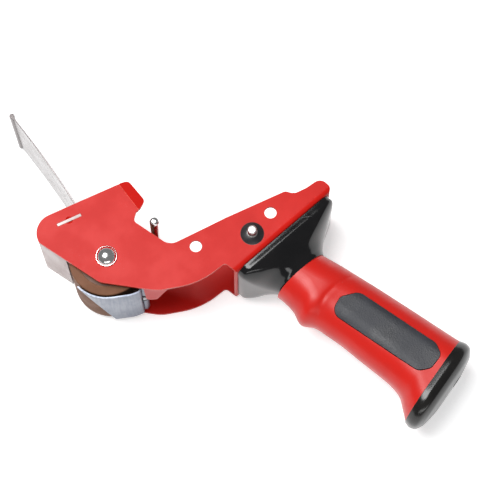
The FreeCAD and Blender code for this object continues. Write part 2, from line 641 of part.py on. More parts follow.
def grip_body(proud):
    """Outer shape of the grip, with its finger stop at the top and its flare at the butt."""
    stations = [
        (-24.0, -15.0, 18.8, 34.6, 16.4), (-16.0, -15.1, 18.8, 34.6, 16.4), (-8.0, -15.2, 18.8, 34.8, 16.5),
        (0.0, -15.6, 19.1, 35.0, 16.8), (8.0, -16.2, 20.8, 35.4, 17.0),
        (16.0, -16.8, 24.6, 35.6, 17.0), (24.0, -17.3, 21.6, 33.8, 16.4), (33.0, -17.7, 21.3, 33.2, 16.0),
        (42.0, -18.0, 21.4, 33.4, 16.0), (51.0, -18.2, 22.1, 33.8, 16.2), (60.0, -18.35, 22.8, 34.2, 16.3),
        (69.0, -18.5, 23.4, 34.6, 16.4), (78.0, -18.6, 24.3, 35.2, 16.6), (86.0, -18.7, 26.7, 36.2, 17.0),
        (92.0, -18.8, 31.8, 37.4, 17.5), (GRIP_END, -18.9, 36.6, 38.6, 18.0),
    ]
    sections = [grip_section(s, palm, fingers, wide + 2 * proud, radius)
                for s, palm, fingers, wide, radius in stations]
    body = Part.makeLoft(sections, True, False)
    above = Part.makeBox(200, 100, 200, Vector(-60, -COLLAR_HEIGHT, -60))
    return body.cut(web_frame(above))


def core_prism():
    """Stiff bar inside the grip, from its socket in the collar to the butt."""
    wires = [grip_section(s, CORE_LOW, CORE_HIGH, CORE_Z, 4) for s in (CORE_TOP, CORE_END)]
    return Part.makeLoft(wires, True, True)


def grip_bore(radius, station_from, station_to):
    """Cylinder along the middle of the core bar, between two stations."""
    along, across = grip_axes()
    middle = (CORE_LOW + CORE_HIGH) / 2
    start = Vector(GRIP_TOP[0], GRIP_TOP[1], MID) + along * station_from + across * middle
    return Part.makeCylinder(radius, station_to - station_from, start, along)


def grip_core():
    """Core bar, hollow down the middle, socketed into the collar."""
    return core_prism().cut(grip_bore(CORE_BORE_R, 20, CORE_END))


def insert_prism(gap, z_from, z_to):
    """Outline of a soft insert, drawn along the grip."""
    corners = [(28.0 + gap, 12.6 - gap, 6.0 - gap), (27.2 + gap, 2.0, 4.0 - gap),
               (34.5 + gap / 2, -6.9 + gap, 7.0 - gap), (87.0, -6.9 + gap, 6.0 - gap),
               (93.6 - gap, -2.5, 5.0 - gap), (93.2 - gap, 7.5, 5.0 - gap),
               (88.0, 12.9 - gap, 6.0 - gap)]
    shape = prism(corners, 0, z_to - z_from)
    along, across = grip_axes()
    matrix = FreeCAD.Matrix(along.x, across.x, 0, GRIP_TOP[0],
                            along.y, across.y, 0, GRIP_TOP[1],
                            0, 0, 1, z_from,
                            0, 0, 0, 1)
    return shape.transformGeometry(matrix)


def grip_shell():
    """Two-colour grip's red body, with a pocket on each side for the insert."""
    body = grip_body(0).cut(core_prism())
    body = body.cut(grip_bore(BUTT_SCREW_R + 0.1, CORE_END, GRIP_END + 1))
    body = body.cut(insert_prism(0, MID + INSERT_FLOOR, FRAME_WIDTH))
    return body.cut(insert_prism(0, 0, MID - INSERT_FLOOR))


def grip_insert(near):
    """Soft insert, a little proud of the grip."""
    if near:
        block = insert_prism(INSERT_GAP, MID + INSERT_FLOOR, FRAME_WIDTH)
    else:
        block = insert_prism(INSERT_GAP, 0, MID - INSERT_FLOOR)
    return block.common(grip_body(INSERT_PROUD))


def butt_cap():
    """Cap over the butt end, gently domed, with a countersink for its screw."""
    skirt = Part.makeLoft([grip_section(GRIP_END, -19.2, 37.0, 39.2, 18.2),
                           grip_section(GRIP_END + 3.2, -19.8, 38.0, 40.2, 18.6),
                           grip_section(GRIP_END + 7.2, -18.6, 36.8, 37.6, 17.6)], True, False)
    crown = Part.makeLoft([grip_section(GRIP_END + 7.2, -18.6, 36.8, 37.6, 17.6),
                           grip_section(GRIP_END + 10.0, -13.0, 31.4, 27.0, 13.0),
                           grip_section(GRIP_END + 11.2, -5.0, 23.0, 15.0, 7.0)], True, False)
    body = fuse([skirt, crown])
    body = body.cut(grip_bore(BUTT_SCREW_R + 0.1, GRIP_END - 1, BUTT_SEAT + 1))
    return body.cut(grip_bore(BUTT_SCREW_HEAD_R + 0.2, BUTT_SEAT, BUTT_SEAT + 9))


def butt_screw():
    """Screw through the cap into the plug in the core."""
    shank = grip_bore(BUTT_SCREW_R, BUTT_SEAT - BUTT_SCREW_LENGTH, BUTT_SEAT)
    head = grip_bore(BUTT_SCREW_HEAD_R, BUTT_SEAT, BUTT_SEAT + BUTT_SCREW_HEAD)
    return shank.fuse(head).removeSplitter()


def core_plug():
    """Threaded plug in the core's bore that takes the butt screw."""
    return grip_bore(CORE_BORE_R, CORE_END - PLUG_LENGTH, CORE_END).cut(
        grip_bore(BUTT_SCREW_R, CORE_END - PLUG_LENGTH, CORE_END))


def handle_screws():
    """Pan-head screws from inside the frame into the collar, one solid each."""
    screws = []
    for along in HANDLE_SCREWS:
        shank = Part.makeCylinder(SCREW_R, SCREW_LENGTH - 1 + SHEET,
                                  Vector(along, -SCREW_LENGTH + 1, MID), Vector(0, 1, 0))
        head = Part.makeCylinder(SCREW_HEAD_R, SCREW_HEAD, Vector(along, SHEET, MID), Vector(0, 1, 0))
        head = head.makeFillet(1.0, [e for e in head.Edges
                                     if abs(e.CenterOfMass.y - SHEET - SCREW_HEAD) < 0.01])
        screws.append(web_frame(shank.fuse(head).removeSplitter()))
    return Part.makeCompound(screws)


# ---- write the parts ------------------------------------------------------------------------------------------------
PIECES = {
    "frame": frame, "nose_plate": nose_plate, "blade": blade, "wiper_flap": wiper_flap,
    "wiper_clamp": wiper_clamp, "clamp_screws": clamp_screws, "clamp_nuts": clamp_nuts,
    "roller_tread": roller_tread, "roller_core": roller_core, "roller_bushes": roller_bushes,
    "axle_washers": axle_washers, "roller_axle": roller_axle, "axle_cap": axle_cap,
    "tape_tongue": tape_tongue, "tongue_pin": tongue_pin, "tongue_spring": tongue_spring,
    "guide_rod": guide_rod, "hub_stud": hub_stud, "stud_spacer": stud_spacer,
    "dished_washer": dished_washer, "handle_collar": handle_collar, "grip_core": grip_core,
    "grip_shell": grip_shell, "grip_insert_near": lambda: grip_insert(True),
    "grip_insert_far": lambda: grip_insert(False), "butt_cap": butt_cap,
    "butt_screw": butt_screw, "core_plug": core_plug, "handle_screws": handle_screws,
}

os.makedirs("parts", exist_ok=True)
shapes = {name: make() for name, make in PIECES.items()}
box = FreeCAD.BoundBox()
for shape in shapes.values():
    box.add(shape.optimalBoundingBox(False))
shift = Vector(-box.Center.x, -box.Center.y, -box.ZMin)
print(f"size {box.XLength:.2f} x {box.YLength:.2f} x {box.ZLength:.2f}")
print(f"roller axis at {shift.x:.3f}, {shift.y:.3f}; lowest point was {box.ZMin:.3f}")
for name, shape in shapes.items():
    shape.translate(shift)
    solids = shape.Solids
    print(f"{name}: {len(solids)} solid(s), {shape.Volume / 1000:.2f} cm3, valid {shape.isValid()}")
    shape.exportStep(f"parts/{name}.step")
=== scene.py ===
# %% [markdown]
# # A packing-tape gun
# The real object is a hand tool: a folded steel frame painted red, a rubber roller and a serrated
# blade in its head, a springy wiper flap, and a red and grey grip under a glossy black collar.
# An exact model of every piece is loaded first. Each visible piece is then finished: either its
# exact mesh is merged, its edges are softened and it gets a real finish, or it is built again
# here where a smoother shape is wanted. Sizes are in millimetres, turned into metres by MM.

# %% Load the exact model
import json
import math

import bmesh
import bpy
from mathutils import Matrix, Vector


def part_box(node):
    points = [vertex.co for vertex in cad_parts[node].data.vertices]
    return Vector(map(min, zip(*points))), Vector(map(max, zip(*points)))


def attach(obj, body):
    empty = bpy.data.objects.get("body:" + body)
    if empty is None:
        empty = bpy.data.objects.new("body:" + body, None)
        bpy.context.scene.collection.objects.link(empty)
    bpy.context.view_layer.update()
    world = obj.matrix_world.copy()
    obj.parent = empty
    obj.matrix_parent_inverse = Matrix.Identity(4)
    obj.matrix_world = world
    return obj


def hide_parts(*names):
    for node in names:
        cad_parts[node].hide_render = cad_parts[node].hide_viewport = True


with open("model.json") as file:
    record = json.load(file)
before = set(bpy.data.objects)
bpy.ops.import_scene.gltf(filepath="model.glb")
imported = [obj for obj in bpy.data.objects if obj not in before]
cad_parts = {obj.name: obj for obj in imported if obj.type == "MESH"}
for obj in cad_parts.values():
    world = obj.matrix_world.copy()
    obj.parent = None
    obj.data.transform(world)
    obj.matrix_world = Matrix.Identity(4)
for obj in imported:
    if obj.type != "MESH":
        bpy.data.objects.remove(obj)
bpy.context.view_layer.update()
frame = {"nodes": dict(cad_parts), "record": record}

MM = 0.001
scene = bpy.context.scene

# %% [markdown]
# Everything on the tool is laid out from the roller's axis, so one small function turns
# "millimetres from the roller axis" into a place in the scene. X runs back to the handle, Y up to
# the wiper's tip, and Z is height above the table, because the tool lies on its side.

# %% Places, bodies and slots
axle_low, axle_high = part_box("roller_axle")
AXIS = (axle_low + axle_high) / 2
SLOT_OF = {part["node"]: part["material_slot"] for part in frame["record"]["subparts"]}
BODY_OF = {node: body for body, nodes in frame["record"]["behaviour"]["bodies"].items() for node in nodes}


def at(x, y, z):
    """A place in the scene, from millimetres about the roller axis."""
    return Vector((AXIS.x + x * MM, AXIS.y + y * MM, z * MM))


def height_of(node):
    """Lowest and highest Z of an exact node, in millimetres."""
    low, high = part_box(node)
    return low.z / MM, high.z / MM


def middle_of(node):
    """X and Y of an exact node's middle, in millimetres from the roller axis."""
    low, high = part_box(node)
    centre = (low + high) / 2 - AXIS
    return centre.x / MM, centre.y / MM


print("roller axis", [round(v / MM, 2) for v in AXIS])

# %% [markdown]
# The camera looks down on the tool from about a metre, 16.5 degrees off the vertical, with a long
# lens, so there is little perspective. Its three axes are written out as vectors: that is easier
# to keep exact than three turning angles.

# %% Camera
LENS = 145.7
DISTANCE = 1150.0
back = Vector((-0.1209, -0.2570, 0.9588)).normalized()
right = Vector((0.905, -0.426, 0.0))
right = (right - back * right.dot(back)).normalized()
up = back.cross(right)
camera = bpy.data.objects.new("camera", bpy.data.cameras.new("camera"))
scene.collection.objects.link(camera)
camera.data.lens = LENS
camera.data.sensor_width = 36.0
camera.data.clip_start, camera.data.clip_end = 0.05, 20.0
place = at(75.4, -31.3, 56.0) + back * DISTANCE * MM
camera.matrix_world = Matrix.Translation(place) @ Matrix((right, up, back)).transposed().to_4x4()
scene.camera = camera
scene.view_settings.view_transform = "Standard"
print("camera at", [round(v, 3) for v in place])

# %% [markdown]
# A small helper makes shader nodes: it takes the node's settings, and its inputs as plain values
# or as another node's output. Long node trees then read almost like a list of steps.

# %% Helper for node trees
def add(tree, kind, inputs=None, **settings):
    """One node, with its settings, and its inputs set or linked."""
    made = tree.nodes.new(kind)
    for key, value in settings.items():
        setattr(made, key, value)
    for key, value in (inputs or {}).items():
        if isinstance(value, bpy.types.NodeSocket):
            tree.links.new(value, made.inputs[key])
        else:
            made.inputs[key].default_value = value
    return made


def maths(tree, operation, a, b=0.0, clamp=False):
    """A Math node's result."""
    return add(tree, "ShaderNodeMath", {0: a, 1: b}, operation=operation, use_clamp=clamp).outputs[0]


def remap(tree, value, low, high, to_low=0.0, to_high=1.0):
    """A value taken smoothly from one range to another."""
    made = add(tree, "ShaderNodeMapRange", {"Value": value, "From Min": low, "From Max": high,
                                            "To Min": to_low, "To Max": to_high},
               interpolation_type="SMOOTHSTEP")
    return made.outputs["Result"]


def blend_colour(tree, share, first, second):
    """Mix of two colours."""
    made = add(tree, "ShaderNodeMix", data_type="RGBA")
    for socket, value in ((made.inputs[0], share), (made.inputs[6], first), (made.inputs[7], second)):
        if isinstance(value, bpy.types.NodeSocket):
            tree.links.new(value, socket)
        else:
            socket.default_value = value
    return made.outputs[2]


# %% [markdown]
# The floor is plain and pale. To the camera it is almost white, because a little of its own glow
# is added for camera and mirror rays only; its lit part keeps the tool's soft shadow.

# %% Floor
FLOOR_SIZE = 12.0
FLOOR_TONE, FLOOR_GLOW = 0.86, 0.5
floor_mesh = bpy.data.meshes.new("floor")
half = FLOOR_SIZE / 2
floor_mesh.from_pydata([(-half, -half, 0), (half, -half, 0), (half, half, 0), (-half, half, 0)], [],
                       [(0, 1, 2, 3)])
floor = bpy.data.objects.new("floor", floor_mesh)
scene.collection.objects.link(floor)
floor_finish = bpy.data.materials.new("pale_floor")
floor_finish.use_nodes = True
tree = floor_finish.node_tree
tree.nodes.clear()
lit = add(tree, "ShaderNodeBsdfDiffuse", {"Color": (FLOOR_TONE, FLOOR_TONE, FLOOR_TONE, 1)})
ray = add(tree, "ShaderNodeLightPath")
seen = maths(tree, "MAXIMUM", ray.outputs["Is Camera Ray"], ray.outputs["Is Glossy Ray"])
seen = maths(tree, "MAXIMUM", seen, ray.outputs["Is Transmission Ray"])
glow = add(tree, "ShaderNodeEmission", {"Color": (1, 1, 1, 1),
                                        "Strength": maths(tree, "MULTIPLY", seen, FLOOR_GLOW)})
both = add(tree, "ShaderNodeAddShader", {0: lit.outputs[0], 1: glow.outputs[0]})
add(tree, "ShaderNodeOutputMaterial", {"Surface": both.outputs[0]})
floor_mesh.materials.append(floor_finish)

# %% [markdown]
# Studio light: a large soft lamp overhead and to the left gives most of it and models the forms, a
# dim white room fills the shadows, and a low strip lamp in front draws the long highlights.

# %% World and lamps
world = bpy.data.worlds.new("white_room")
scene.world = world
world.use_nodes = True
tree = world.node_tree
tree.nodes.clear()
ray = add(tree, "ShaderNodeLightPath")
ROOM_LIGHT = 0.24
room = add(tree, "ShaderNodeBackground", {"Color": (0.97, 0.98, 1.0, 1), "Strength": ROOM_LIGHT})
white = add(tree, "ShaderNodeBackground", {"Color": (1, 1, 1, 1), "Strength": 1.0})
choice = add(tree, "ShaderNodeMixShader", {0: ray.outputs["Is Camera Ray"], 1: room.outputs[0],
                                           2: white.outputs[0]})
add(tree, "ShaderNodeOutputWorld", {"Surface": choice.outputs[0]})


def soft_lamp(name, place, target, width, height, watts):
    """Rectangular soft lamp at a place, turned to a target (metres from the tool's middle)."""
    data = bpy.data.lights.new(name, "AREA")
    data.shape = "RECTANGLE"
    data.size, data.size_y, data.energy = width, height, watts
    lamp = bpy.data.objects.new(name, data)
    scene.collection.objects.link(lamp)
    lamp.location = place
    lamp.rotation_euler = (Vector(target) - Vector(place)).to_track_quat("-Z", "Y").to_euler()
    return lamp


soft_lamp("overhead_soft", (-0.35, 0.35, 1.7), (0, 0, 0), 1.0, 1.0, 33)
soft_lamp("front_strip", (-0.5, -1.5, 0.7), (0, 0, 0), 1.6, 0.3, 5)

# %% [markdown]
# ## Finishes
# Each real surface changes over its area: paint is thinner on edges and there also gets a painted edge
# highlight, plastic has a fine moulded grain, metal has brush lines, and everything that is handled has
# duller and shinier patches.
# These effects are wanted in many materials, so each is one node group with named inputs, built
# once. A group only gives masks and heights; the shader stays in each material.

# %% Shared effects
def new_group(name, inputs, outputs):
    """An empty shader group with number inputs and outputs."""
    tree = bpy.data.node_groups.new(name, "ShaderNodeTree")
    for label, value in inputs.items():
        tree.interface.new_socket(label, in_out="INPUT", socket_type="NodeSocketFloat").default_value = value
    for label in outputs:
        tree.interface.new_socket(label, in_out="OUTPUT", socket_type="NodeSocketFloat")
    return tree, add(tree, "NodeGroupInput"), add(tree, "NodeGroupOutput")


def noise(tree, vector, scale, detail=2.0, rough=0.5):
    """A Noise node's value."""
    return add(tree, "ShaderNodeTexNoise", {"Vector": vector, "Scale": scale, "Detail": detail,
                                            "Roughness": rough}).outputs["Fac"]


def make_edge_wear_and_highlight():
    """Mask that is 1 on convex edges, broken up by noise."""
    # This edge mask serves real wear, and on the red enamel it places a painted edge highlight.
    tree, given, result = new_group("edge_wear_and_highlight", {"Radius": 0.0005, "Reach": 6.0, "Breakup": 500.0}, ["Mask"])
    soft = add(tree, "ShaderNodeBevel", {"Radius": given.outputs["Radius"]}, samples=4)
    here = add(tree, "ShaderNodeNewGeometry")
    facing = add(tree, "ShaderNodeVectorMath", {0: soft.outputs[0], 1: here.outputs["Normal"]},
                 operation="DOT_PRODUCT")
    bend = maths(tree, "SUBTRACT", 1.0, facing.outputs["Value"])
    edge = maths(tree, "MULTIPLY", bend, given.outputs["Reach"])
    spots = noise(tree, add(tree, "ShaderNodeTexCoord").outputs["Object"], given.outputs["Breakup"], 3.0)
    tree.links.new(remap(tree, maths(tree, "MULTIPLY", edge, spots), 0.10, 0.45), result.inputs["Mask"])
    return tree


def make_grain():
    """Fine moulded or sprayed grain: a height, and a slower tone."""
    tree, given, result = new_group("moulded_grain", {"Scale": 2200.0, "Tone Scale": 60.0},
                                    ["Height", "Tone"])
    spot = add(tree, "ShaderNodeTexCoord").outputs["Object"]
    tree.links.new(noise(tree, spot, given.outputs["Scale"], 3.0, 0.55), result.inputs["Height"])
    tone = noise(tree, spot, given.outputs["Tone Scale"], 4.0, 0.6)
    tree.links.new(remap(tree, tone, 0.3, 0.7), result.inputs["Tone"])
    return tree


def make_brushed():
    """Brush lines: noise stretched along one direction."""
    tree, given, result = new_group("brush_lines", {"Along X": 40.0, "Along Y": 3000.0, "Along Z": 3000.0},
                                    ["Height"])
    spot = add(tree, "ShaderNodeTexCoord").outputs["Object"]
    stretch = add(tree, "ShaderNodeCombineXYZ", {"X": given.outputs["Along X"], "Y": given.outputs["Along Y"],
                                                 "Z": given.outputs["Along Z"]})
    drawn = add(tree, "ShaderNodeVectorMath", {0: spot, 1: stretch.outputs[0]}, operation="MULTIPLY")
    tree.links.new(noise(tree, drawn.outputs[0], 1.0, 3.0, 0.6), result.inputs["Height"])
    return tree


def make_scratches():
    """Sparse hairline scratches."""
    tree, given, result = new_group("hairline_scratches", {"Scale": 90.0, "Width": 0.006}, ["Mask"])
    spot = add(tree, "ShaderNodeTexCoord").outputs["Object"]
    bent = add(tree, "ShaderNodeTexNoise", {"Vector": spot, "Scale": 30.0, "Detail": 1.0})
    moved = add(tree, "ShaderNodeVectorMath", {0: bent.outputs["Color"], 1: (0.012, 0.012, 0.012), 2: spot},
                operation="MULTIPLY_ADD")
    cells = add(tree, "ShaderNodeTexVoronoi", {"Vector": moved.outputs[0], "Scale": given.outputs["Scale"]},
                feature="DISTANCE_TO_EDGE")
    line = remap(tree, cells.outputs["Distance"], given.outputs["Width"], 0.0)
    where = remap(tree, noise(tree, spot, 45.0, 2.0), 0.52, 0.66)
    tree.links.new(maths(tree, "MULTIPLY", line, where), result.inputs["Mask"])
    return tree


def make_dust():
    """Specks of dust on what faces up."""
    tree, given, result = new_group("settled_dust", {"Scale": 900.0, "Cover": 0.3}, ["Mask"])
    spot = add(tree, "ShaderNodeTexCoord").outputs["Object"]
    facing = add(tree, "ShaderNodeSeparateXYZ", {0: add(tree, "ShaderNodeNewGeometry").outputs["Normal"]})
    specks = remap(tree, noise(tree, spot, given.outputs["Scale"], 2.0), 0.60, 0.78)
    patches = remap(tree, noise(tree, spot, 35.0, 3.0), 0.45, 0.75)
    upward = maths(tree, "MAXIMUM", facing.outputs["Z"], 0.0)
    mask = maths(tree, "MULTIPLY", maths(tree, "MULTIPLY", specks, patches), upward)
    tree.links.new(maths(tree, "MULTIPLY", mask, given.outputs["Cover"]), result.inputs["Mask"])
    return tree


EFFECTS = {tree.name: tree for tree in (make_edge_wear_and_highlight(), make_grain(), make_brushed(), make_scratches(),
                                        make_dust())}
print("shared effects:", ", ".join(EFFECTS))

# %% [markdown]
# One function lays these effects over a plain shader: a tone that drifts between two colours, a
# second colour on edges (wear, and on the red enamel a painted edge highlight), dust, a rougher or
# smoother drift, scratches and a bump. What is the same all over a surface, such as its metal share or
# its coat, is set on the shader itself.

# %% One recipe for a finish
def effect(tree, name, **values):
    """A shared effect placed in a material, with its own values."""
    made = add(tree, "ShaderNodeGroup", node_tree=EFFECTS[name])
    for label, value in values.items():
        made.inputs[label.replace("_", " ")].default_value = value
    return made


def finish(name, colour, drift, rough, rough_drift=0.08, metallic=0.0, grain=2200.0, grain_depth=0.02,
           lines=None, line_depth=0.02, edge_wear_and_highlight_tint=None, edge_radius=0.0005, edge_reach=6.0, dust=0.25,
           scratches=0.0, coat=0.0, coat_rough=0.1, specular=0.5):
    """A material: colour drifting to a second one, with the shared effects over it."""
    material = bpy.data.materials.new(name)
    material.use_nodes = True
    tree = material.node_tree
    tree.nodes.clear()
    moulded = effect(tree, "moulded_grain", Scale=grain)
    tint = blend_colour(tree, moulded.outputs["Tone"], (*colour, 1), (*drift, 1))
    roughness = remap(tree, moulded.outputs["Tone"], 0.0, 1.0, rough, rough + rough_drift)
    height = maths(tree, "MULTIPLY", moulded.outputs["Height"], grain_depth)
    if lines:
        brushed = effect(tree, "brush_lines", Along_X=lines[0], Along_Y=lines[1], Along_Z=lines[2])
        height = maths(tree, "ADD", height, maths(tree, "MULTIPLY", brushed.outputs["Height"], line_depth))
        streaks = remap(tree, brushed.outputs["Height"], 0.3, 0.7, -0.05, 0.07)
        roughness = maths(tree, "ADD", roughness, streaks)
    if scratches:
        marks = effect(tree, "hairline_scratches").outputs["Mask"]
        roughness = maths(tree, "ADD", roughness, maths(tree, "MULTIPLY", marks, scratches))
        height = maths(tree, "SUBTRACT", height, maths(tree, "MULTIPLY", marks, 0.01))
    # Edges take a second colour: wear on most finishes, a painted edge highlight on the red enamel.
    if edge_wear_and_highlight_tint:
        edge_wear_and_highlight_mask = effect(tree, "edge_wear_and_highlight", Radius=edge_radius, Reach=edge_reach).outputs["Mask"]
        tint = blend_colour(tree, edge_wear_and_highlight_mask, tint, (*edge_wear_and_highlight_tint, 1))
        roughness = maths(tree, "ADD", roughness, maths(tree, "MULTIPLY", edge_wear_and_highlight_mask, 0.08))
    specks = effect(tree, "settled_dust", Cover=dust).outputs["Mask"]
    tint = blend_colour(tree, specks, tint, (0.55, 0.53, 0.50, 1))
    bump = add(tree, "ShaderNodeBump", {"Height": height, "Strength": 1.0, "Distance": MM})
    shader = add(tree, "ShaderNodeBsdfPrincipled", {
        "Base Color": tint, "Roughness": maths(tree, "ADD", roughness, 0.0, clamp=True), "Metallic": metallic,
        "Normal": bump.outputs[0], "Coat Weight": coat, "Coat Roughness": coat_rough,
        "Specular IOR Level": specular})
    add(tree, "ShaderNodeOutputMaterial", {"Surface": shader.outputs[0]})
    return material


# %% [markdown]
# The finishes themselves. The frame's enamel is sprayed, so it has a faint orange peel; its edges, where
# the paint thins, are a little rougher, and they are painted a lighter, more orange red as a painted edge
# highlight. Mouldings have a finer, harder grain. Plated steel keeps its brush lines, and rubber is dull
# with a chalky bloom.

# %% The tool's finishes
FINISHES = {
    # The enamel's lighter, more orange edge colour is a painted edge highlight.
    "frame_paint": finish("red_enamel", (0.60, 0.012, 0.007), (0.54, 0.010, 0.006), 0.30, 0.08, grain=900,
                          grain_depth=0.012, edge_wear_and_highlight_tint=(0.75, 0.16, 0.12), edge_radius=0.0005, edge_reach=4.0,
                          scratches=0.12, dust=0.06, coat=0.0, coat_rough=0.25, specular=0.16),
    "zinc": finish("zinc_plate", (0.44, 0.38, 0.37), (0.38, 0.31, 0.30), 0.40, 0.10, metallic=0.55,
                   lines=(60, 3000, 120), scratches=0.15, edge_wear_and_highlight_tint=(0.55, 0.53, 0.52), dust=0.2),
    "blade_steel": finish("blade_steel", (0.55, 0.53, 0.53), (0.48, 0.46, 0.46), 0.26, 0.08, metallic=1.0,
                          lines=(3000, 3000, 60), scratches=0.15, dust=0.15),
    "flap_sheet": finish("wiper_sheet", (0.17, 0.15, 0.15), (0.21, 0.18, 0.175), 0.14, 0.08, metallic=0.2,
                         lines=(2500, 40, 2500), line_depth=0.005, grain_depth=0.004,
                         scratches=0.12, dust=0.1),
    "screw_steel": finish("bright_zinc", (0.60, 0.58, 0.57), (0.50, 0.48, 0.47), 0.30, 0.12, metallic=1.0,
                          grain_depth=0.01, scratches=0.2, edge_wear_and_highlight_tint=(0.75, 0.74, 0.72), dust=0.2),
    "brown_rubber": finish("brown_rubber", (0.20, 0.085, 0.042), (0.15, 0.065, 0.032), 0.62, 0.12, grain=1500,
                           grain_depth=0.05, edge_wear_and_highlight_tint=(0.33, 0.19, 0.12), dust=0.4, specular=0.3),
    "core_plastic": finish("brown_core", (0.15, 0.070, 0.040), (0.11, 0.050, 0.030), 0.5, 0.1,
                           grain_depth=0.03, dust=0.3),
    "bush_plastic": finish("natural_acetal", (0.55, 0.52, 0.47), (0.50, 0.46, 0.40), 0.45, 0.08),
    "bright_steel": finish("polished_steel", (0.78, 0.77, 0.76), (0.70, 0.69, 0.68), 0.10, 0.08, metallic=1.0,
                           grain_depth=0.003, scratches=0.25, dust=0.15),
    "tongue_steel": finish("blue_spring_steel", (0.24, 0.26, 0.31), (0.19, 0.21, 0.26), 0.34, 0.10,
                           metallic=0.8, lines=(900, 900, 60), line_depth=0.012, scratches=0.15, dust=0.2),
    "spring_steel": finish("spring_wire", (0.35, 0.35, 0.36), (0.25, 0.25, 0.26), 0.32, 0.1, metallic=1.0),
    "black_plastic": finish("black_gloss", (0.003, 0.003, 0.0035), (0.006, 0.0055, 0.006), 0.10, 0.06,
                            grain=1200, grain_depth=0.006, scratches=0.15, edge_wear_and_highlight_tint=(0.03, 0.03, 0.03), dust=0.05,
                            specular=0.45),
    "red_plastic": finish("red_moulding", (0.62, 0.014, 0.008), (0.57, 0.012, 0.007), 0.32, 0.08, grain=1600,
                          grain_depth=0.022, scratches=0.08, edge_wear_and_highlight_tint=(0.70, 0.06, 0.04), edge_reach=2.0,
                          dust=0.08, specular=0.35),
    "grey_soft": finish("soft_grey_insert", (0.013, 0.014, 0.019), (0.024, 0.026, 0.034), 0.40, 0.12,
                        grain=1300, grain_depth=0.16, edge_wear_and_highlight_tint=(0.08, 0.085, 0.10), dust=0.15),
    "cap_plastic": finish("gloss_cap", (0.005, 0.0045, 0.004), (0.010, 0.009, 0.008), 0.16, 0.08, grain=1600,
                          grain_depth=0.012, scratches=0.15, edge_wear_and_highlight_tint=(0.05, 0.05, 0.048), dust=0.08),
    "dark_steel": finish("blackened_steel", (0.030, 0.030, 0.034), (0.060, 0.058, 0.060), 0.32, 0.12,
                         metallic=0.6, grain_depth=0.012, scratches=0.25, edge_wear_and_highlight_tint=(0.20, 0.19, 0.18), dust=0.2),
}
print(len(FINISHES), "finishes")

# %% [markdown]
# ## Pieces from the exact mesh
# Folded and machined pieces already have the right shape. Their mesh comes as loose triangles, so a
# copy is merged, flat areas become single faces, and a Bevel modifier rounds each hard edge a
# little: without it, edges catch no light and look like paper.

# %% Helpers for pieces
def new_piece(name, mesh, node):
    """An object with a mesh, standing for an exact node: same body, same finish."""
    piece = bpy.data.objects.new(name, mesh)
    scene.collection.objects.link(piece)
    mesh.materials.clear()
    mesh.materials.append(FINISHES[SLOT_OF[node]])
    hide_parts(node)
    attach(piece, BODY_OF[node])
    return piece


def soften(piece, width, segments=2, angle=35.0):
    """Round the hard edges by a width in millimetres, and shade the rest smoothly."""
    piece.data.shade_smooth()
    piece.data.set_sharp_from_angle(angle=math.radians(angle))
    if width:
        bevel = piece.modifiers.new("soft_edges", "BEVEL")
        bevel.width, bevel.segments = width * MM, segments
        bevel.limit_method, bevel.angle_limit = "ANGLE", math.radians(angle)
        bevel.harden_normals = True
    return piece


def finished_copy(node, name, width=0.2, segments=2, angle=35.0):
    """The exact node's mesh, merged and with softened edges."""
    shape = bmesh.new()
    shape.from_mesh(frame["nodes"][node].data)
    bmesh.ops.remove_doubles(shape, verts=shape.verts, dist=0.002 * MM)
    bmesh.ops.dissolve_limit(shape, angle_limit=math.radians(0.4), verts=shape.verts, edges=shape.edges)
    mesh = bpy.data.meshes.new(name)
    shape.to_mesh(mesh)
    shape.free()
    if "custom_normal" in mesh.attributes:
        mesh.attributes.remove(mesh.attributes["custom_normal"])
    return soften(new_piece(name, mesh, node), width, segments, angle)


# %% Folded, turned and hidden pieces
COPIES = {
    "frame": ("folded_frame", 0.3), "nose_plate": ("staked_nose_plate", 0.25),
    "wiper_flap": ("springy_wiper", 0.12), "wiper_clamp": ("wiper_clamp_strip", 0.25),
    "clamp_nuts": ("nuts_under_nose", 0.25), "roller_core": ("moulded_core", 0.3),
    "roller_bushes": ("flanged_bushes", 0.2), "axle_washers": ("thrust_washers", 0.05),
    "roller_axle": ("axle_pin", 0.0), "tape_tongue": ("curved_tongue", 0.12),
    "tongue_pin": ("hinge_pin", 0.1), "stud_spacer": ("spacer_sleeve", 0.3), "grip_core": ("core_bar", 0.3),
    "core_plug": ("threaded_plug", 0.1),
}
for node, (name, width) in COPIES.items():
    piece = finished_copy(node, name, width)
    print(f"{name}: {len(piece.data.polygons)} faces")

# %% [markdown]
# ## Turned pieces
# Round pieces are made as on a lathe: half of the outline is drawn as radius and height, and spun
# about its axis. A profile that starts and ends on the axis closes at its poles; one that is a ring
# closes on itself. Spinning by code keeps every rounded edge exactly as drawn.

# %% Lathe
TURNS = 72


def turned(profile, x=0.0, y=0.0, ring=False, turns=TURNS):
    """A mesh spun from (radius, height) points in millimetres, about an upright axis."""
    shape = bmesh.new()
    columns = []
    for k in range(turns):
        angle = 2 * math.pi * k / turns
        columns.append([shape.verts.new((x + r * math.cos(angle), y + r * math.sin(angle), z))
                        for r, z in profile])
    spans = len(profile) if ring else len(profile) - 1
    for k in range(turns):
        here, beside = columns[k], columns[(k + 1) % turns]
        for i in range(spans):
            j = (i + 1) % len(profile)
            shape.faces.new((here[i], beside[i], beside[j], here[j]))
    bmesh.ops.remove_doubles(shape, verts=shape.verts, dist=1e-5)
    bmesh.ops.recalc_face_normals(shape, faces=shape.faces)
    return shape


